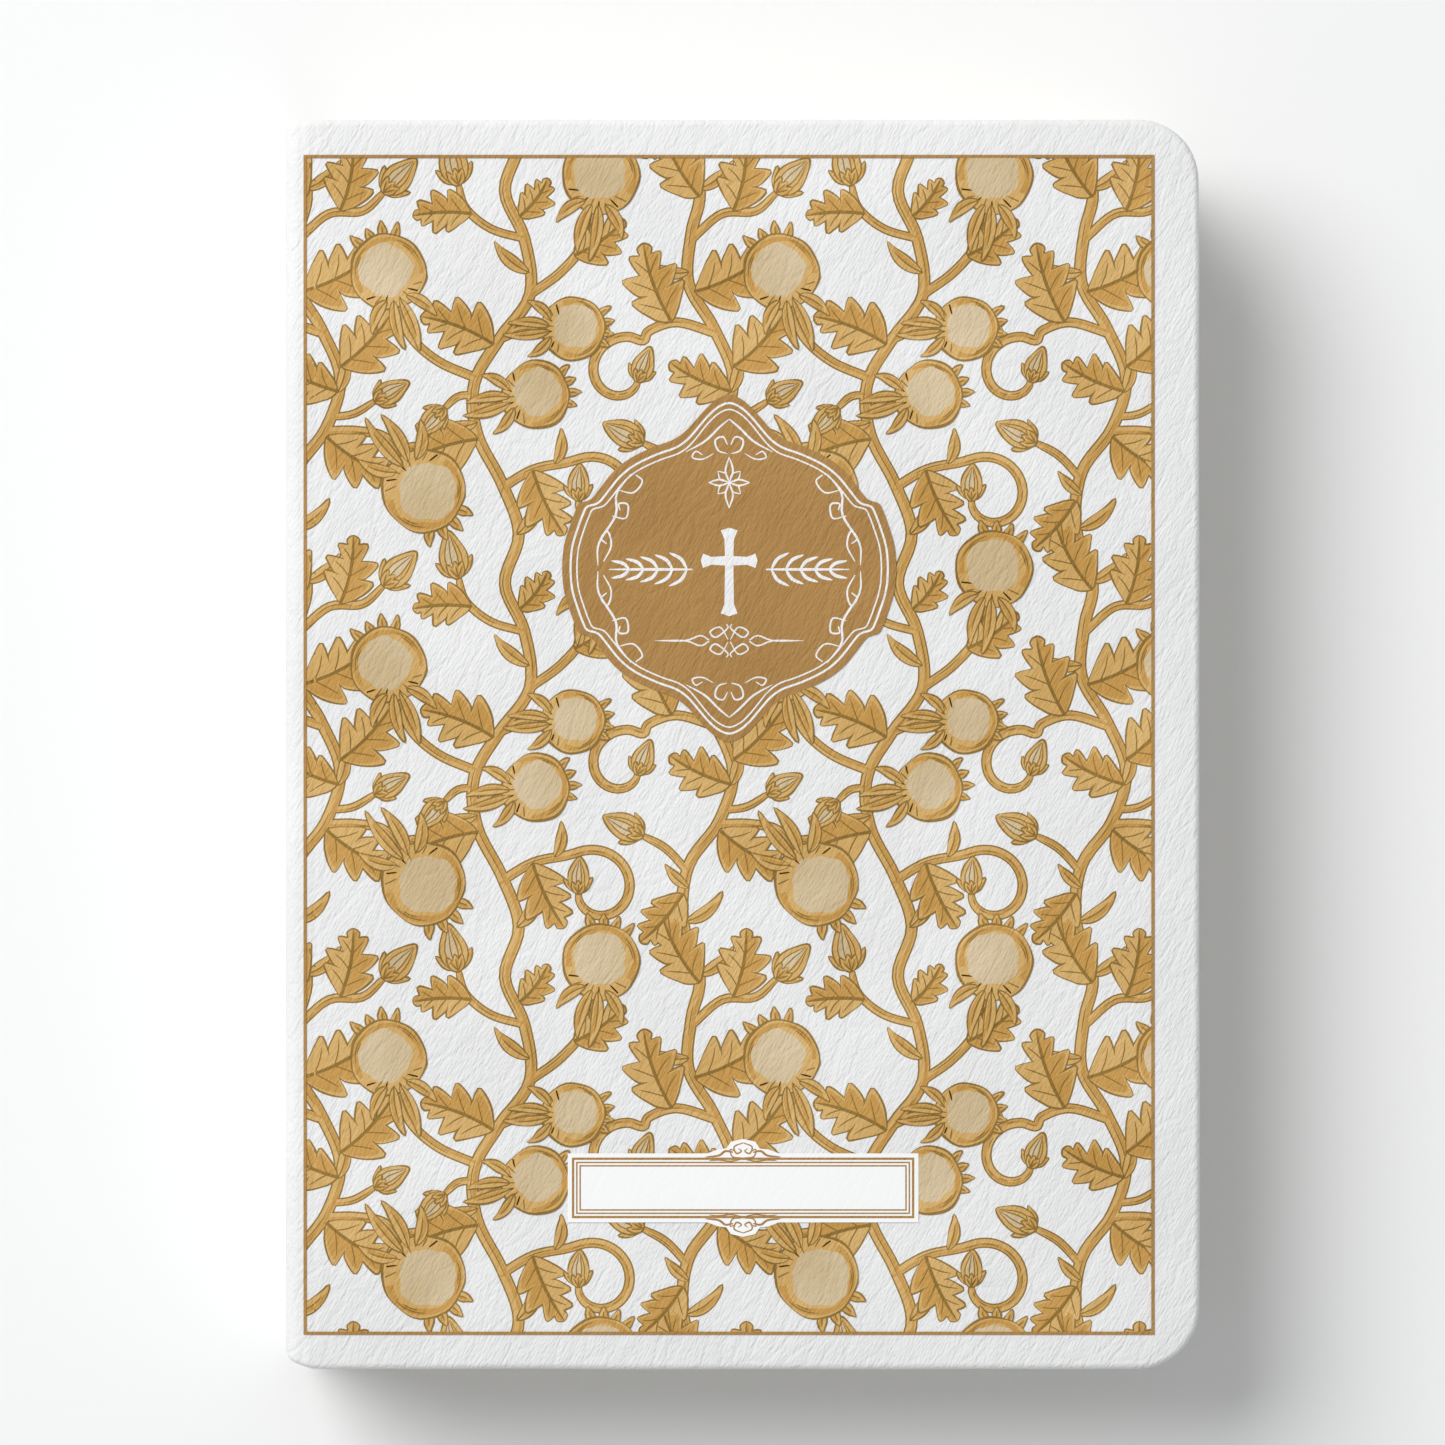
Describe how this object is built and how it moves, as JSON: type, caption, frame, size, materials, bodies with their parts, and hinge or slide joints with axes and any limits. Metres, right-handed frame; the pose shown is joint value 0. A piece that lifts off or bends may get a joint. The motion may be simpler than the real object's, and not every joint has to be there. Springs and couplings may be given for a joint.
{
  "type": "bible",
  "caption": "Bible in a white leather-like soft case printed with a pomegranate and vine pattern, with an ornamental badge and a blank nameplate on the front; the case opens flat.",
  "frame": {"origin": "centre of the closed book's footprint, on the surface it lies on", "axes": "+X from the spine to the fore edge, +Y from the tail to the head, +Z from the back cover up to the front cover"},
  "size_m": [0.165, 0.224, 0.04],
  "materials": {
    "cover_leather": "satin, fine grain, printed on the front",
    "board": "matte",
    "spine_card": "matte",
    "endpaper": "matte",
    "leaf_paper": "matte, thin",
    "lining_paper": "matte kraft",
    "mull_cloth": "open gauze",
    "thread": "waxed",
    "endband": "woven bead"
  },
  "bodies": {
    "back_cover": {"back_cover_skin": "cover_leather", "back_cover_board": "board", "back_pastedown": "endpaper", "back_joint_skin": "cover_leather"},
    "spine": {"spine_skin": "cover_leather", "spine_inlay": "spine_card", "spine_lining": "lining_paper", "mull": "mull_cloth", "sewing_thread": "thread", "headband": "endband", "tailband": "endband", "section_folds": "leaf_paper", "front_endpaper_fold": "endpaper", "back_endpaper_fold": "endpaper"},
    "front_cover": {"front_cover_skin": "cover_leather", "front_cover_board": "board", "front_pastedown": "endpaper", "front_joint_skin": "cover_leather"},
    "front_flyleaf": {"front_flyleaf": "endpaper"},
    "back_flyleaf": {"back_flyleaf": "endpaper"},
    "sections_01_04": {"sections_01_04": "leaf_paper"},
    "sections_05_08": {"sections_05_08": "leaf_paper"},
    "sections_09_12": {"sections_09_12": "leaf_paper"},
    "sections_13_16": {"sections_13_16": "leaf_paper"},
    "sections_17_20": {"sections_17_20": "leaf_paper"},
    "sections_21_24": {"sections_21_24": "leaf_paper"},
    "sections_25_28": {"sections_25_28": "leaf_paper"},
    "sections_29_32": {"sections_29_32": "leaf_paper"},
    "sections_33_36": {"sections_33_36": "leaf_paper"},
    "sections_37_40": {"sections_37_40": "leaf_paper"},
    "sections_41_44": {"sections_41_44": "leaf_paper"},
    "sections_45_48": {"sections_45_48": "leaf_paper"}
  },
  "joints": [
    {"name": "spine_hinge", "type": "hinge", "parent": "back_cover", "child": "spine", "pos_m": [-0.079, 0, 0.0035], "axis": [0, -1, 0], "range_deg": [0, 90], "deforming": ["back_joint_skin"]},
    {"name": "front_cover_hinge", "type": "hinge", "parent": "spine", "child": "front_cover", "pos_m": [-0.079, 0, 0.0365], "axis": [0, -1, 0], "range_deg": [0, 90], "deforming": ["front_joint_skin"]},
    {"name": "front_flyleaf_turn", "type": "hinge", "parent": "spine", "child": "front_flyleaf", "pos_m": [-0.079, 0, 0.0365], "axis": [0, -1, 0], "range_deg": [0, 89.55]},
    {"name": "sections_01_04_turn", "type": "hinge", "parent": "spine", "child": "sections_01_04", "pos_m": [-0.079, 0, 0.0365], "axis": [0, -1, 0], "range_deg": [0, 88.65]},
    {"name": "sections_05_08_turn", "type": "hinge", "parent": "spine", "child": "sections_05_08", "pos_m": [-0.079, 0, 0.0365], "axis": [0, -1, 0], "range_deg": [0, 87.3]},
    {"name": "sections_09_12_turn", "type": "hinge", "parent": "spine", "child": "sections_09_12", "pos_m": [-0.079, 0, 0.0365], "axis": [0, -1, 0], "range_deg": [0, 85.95]},
    {"name": "sections_13_16_turn", "type": "hinge", "parent": "spine", "child": "sections_13_16", "pos_m": [-0.079, 0, 0.0365], "axis": [0, -1, 0], "range_deg": [0, 84.6]},
    {"name": "sections_17_20_turn", "type": "hinge", "parent": "spine", "child": "sections_17_20", "pos_m": [-0.079, 0, 0.0365], "axis": [0, -1, 0], "range_deg": [0, 82.8]},
    {"name": "sections_21_24_turn", "type": "hinge", "parent": "spine", "child": "sections_21_24", "pos_m": [-0.079, 0, 0.0365], "axis": [0, -1, 0], "range_deg": [0, 81]},
    {"name": "sections_25_28_turn", "type": "hinge", "parent": "spine", "child": "sections_25_28", "pos_m": [-0.079, 0, 0.0035], "axis": [0, 1, 0], "range_deg": [0, 81]},
    {"name": "sections_29_32_turn", "type": "hinge", "parent": "spine", "child": "sections_29_32", "pos_m": [-0.079, 0, 0.0035], "axis": [0, 1, 0], "range_deg": [0, 82.8]},
    {"name": "sections_33_36_turn", "type": "hinge", "parent": "spine", "child": "sections_33_36", "pos_m": [-0.079, 0, 0.0035], "axis": [0, 1, 0], "range_deg": [0, 84.6]},
    {"name": "sections_37_40_turn", "type": "hinge", "parent": "spine", "child": "sections_37_40", "pos_m": [-0.079, 0, 0.0035], "axis": [0, 1, 0], "range_deg": [0, 85.95]},
    {"name": "sections_41_44_turn", "type": "hinge", "parent": "spine", "child": "sections_41_44", "pos_m": [-0.079, 0, 0.0035], "axis": [0, 1, 0], "range_deg": [0, 87.3]},
    {"name": "sections_45_48_turn", "type": "hinge", "parent": "spine", "child": "sections_45_48", "pos_m": [-0.079, 0, 0.0035], "axis": [0, 1, 0], "range_deg": [0, 88.65]},
    {"name": "back_flyleaf_turn", "type": "hinge", "parent": "spine", "child": "back_flyleaf", "pos_m": [-0.079, 0, 0.0035], "axis": [0, 1, 0], "range_deg": [0, 89.55]}
  ],
  "couplings": [
    {"joint": "front_flyleaf_turn", "follows": "front_cover_hinge", "ratio": 0.995},
    {"joint": "sections_01_04_turn", "follows": "front_cover_hinge", "ratio": 0.985},
    {"joint": "sections_05_08_turn", "follows": "front_cover_hinge", "ratio": 0.97},
    {"joint": "sections_09_12_turn", "follows": "front_cover_hinge", "ratio": 0.955},
    {"joint": "sections_13_16_turn", "follows": "front_cover_hinge", "ratio": 0.94},
    {"joint": "sections_17_20_turn", "follows": "front_cover_hinge", "ratio": 0.92},
    {"joint": "sections_21_24_turn", "follows": "front_cover_hinge", "ratio": 0.9},
    {"joint": "sections_25_28_turn", "follows": "spine_hinge", "ratio": 0.9},
    {"joint": "sections_29_32_turn", "follows": "spine_hinge", "ratio": 0.92},
    {"joint": "sections_33_36_turn", "follows": "spine_hinge", "ratio": 0.94},
    {"joint": "sections_37_40_turn", "follows": "spine_hinge", "ratio": 0.955},
    {"joint": "sections_41_44_turn", "follows": "spine_hinge", "ratio": 0.97},
    {"joint": "sections_45_48_turn", "follows": "spine_hinge", "ratio": 0.985},
    {"joint": "back_flyleaf_turn", "follows": "spine_hinge", "ratio": 0.995}
  ]
}
